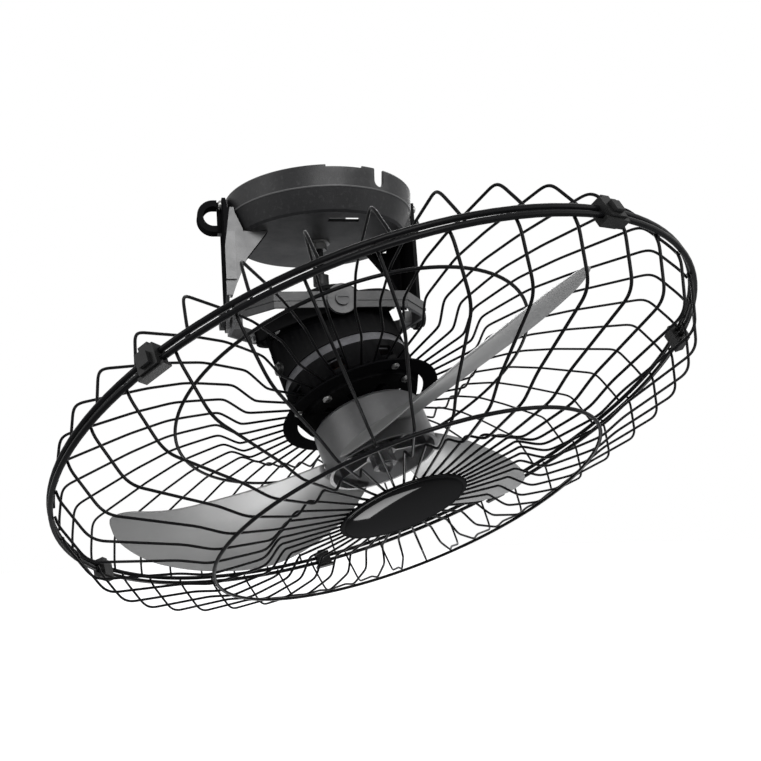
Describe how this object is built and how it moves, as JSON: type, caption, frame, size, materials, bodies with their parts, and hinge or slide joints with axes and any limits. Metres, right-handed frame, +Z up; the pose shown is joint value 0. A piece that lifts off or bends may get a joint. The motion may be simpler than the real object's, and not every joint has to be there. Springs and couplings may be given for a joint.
{
  "type": "orbital ceiling fan",
  "caption": "Caged ceiling fan whose tilted head travels round in a circle: gimbal ring and frame on a two-arm yoke under a round canopy, with a geared orbit drive on the motor.",
  "frame": {"origin": "centre of the canopy's top, in the plane of the ceiling, midway between the ceiling screw holes", "axes": "+Z up into the ceiling; +X from the left yoke arm to the right one, as pictured; +Y away from the viewer"},
  "size_m": [0.4646, 0.4403, 0.3364],
  "materials": {
    "painted_black": "satin black powder coat",
    "painted_grey": "satin dark grey paint",
    "black_steel_part": "blackened steel",
    "cage_wire": "gloss black coated wire",
    "zinc_steel": "zinc plated",
    "bright_steel": "ground",
    "stator_steel": "laminated steel",
    "copper": "enamelled winding",
    "bronze": "sintered bronze",
    "gloss_black_plastic": "high gloss",
    "black_plastic": "satin",
    "white_plastic": "satin",
    "gear_plastic": "moulded",
    "hub_plastic": "satin",
    "blade_plastic": "translucent grey"
  },
  "bodies": {
    "mount": {"ceiling_plate": "black_steel_part", "canopy": "painted_black", "arm_left": "painted_grey", "arm_right": "painted_black", "arm_screws": "zinc_steel", "canopy_knob": "black_plastic", "gimbal_frame": "painted_grey", "frame_screws": "black_steel_part", "frame_pins": "zinc_steel", "stud": "black_steel_part", "stud_nuts": "zinc_steel", "capacitor": "white_plastic", "terminal_block": "white_plastic"},
    "ring": {"gimbal_ring": "painted_black", "head_pins": "zinc_steel"},
    "head": {"rear_cover": "painted_black", "gear_lid": "painted_black", "lid_screws": "zinc_steel", "stator": "stator_steel", "windings": "copper", "front_cover": "painted_black", "cover_screws": "zinc_steel", "bushes": "bronze", "cable_gland": "black_plastic", "guard_flange": "cage_wire", "flange_screws": "zinc_steel", "rear_rim": "cage_wire", "rear_ring": "cage_wire", "rear_wires": "cage_wire", "front_rim": "cage_wire", "front_ring": "cage_wire", "front_wires": "cage_wire", "guard_plate": "cage_wire", "cap": "gloss_black_plastic", "cap_screws": "zinc_steel", "rim_clips": "black_plastic"},
    "rotor": {"shaft": "bright_steel", "rotor_core": "stator_steel", "hub": "hub_plastic", "hub_nut": "hub_plastic", "blade_1": "blade_plastic", "blade_2": "blade_plastic", "blade_3": "blade_plastic"},
    "first_layshaft": {"layshaft_1": "gear_plastic"},
    "second_layshaft": {"layshaft_2": "gear_plastic"},
    "crank": {"crank_gear": "gear_plastic", "crank_disc": "black_steel_part", "crank_pin": "bright_steel"}
  },
  "joints": [
    {"name": "ring_tilt", "type": "hinge", "parent": "mount", "child": "ring", "pos_m": [0, 0, -0.098], "axis": [0, 1, 0], "range_deg": [-13.8, 39.2]},
    {"name": "head_tilt", "type": "hinge", "parent": "ring", "child": "head", "pos_m": [0, 0, -0.098], "axis": [0.9755, 0, 0.2198], "range_deg": [-3.05, 49.95]},
    {"name": "rotor_spin", "type": "hinge", "parent": "head", "child": "rotor", "pos_m": [0, 0, -0.098], "axis": [-0.2017, 0.398, 0.8949], "continuous": true},
    {"name": "layshaft_1_spin", "type": "hinge", "parent": "head", "child": "first_layshaft", "pos_m": [0.01466, 0.00757, -0.09806], "axis": [-0.2017, 0.398, 0.8949], "continuous": true},
    {"name": "layshaft_2_spin", "type": "hinge", "parent": "head", "child": "second_layshaft", "pos_m": [0.00144, 0.01514, -0.10441], "axis": [-0.2017, 0.398, 0.8949], "continuous": true},
    {"name": "crank_spin", "type": "hinge", "parent": "head", "child": "crank", "pos_m": [0, 0, -0.098], "axis": [-0.2017, 0.398, 0.8949], "continuous": true}
  ],
  "couplings": [
    {"joint": "layshaft_1_spin", "follows": "rotor_spin", "ratio": -0.22222},
    {"joint": "layshaft_2_spin", "follows": "rotor_spin", "ratio": 0.049383},
    {"joint": "crank_spin", "follows": "rotor_spin", "ratio": -0.010974}
  ]
}
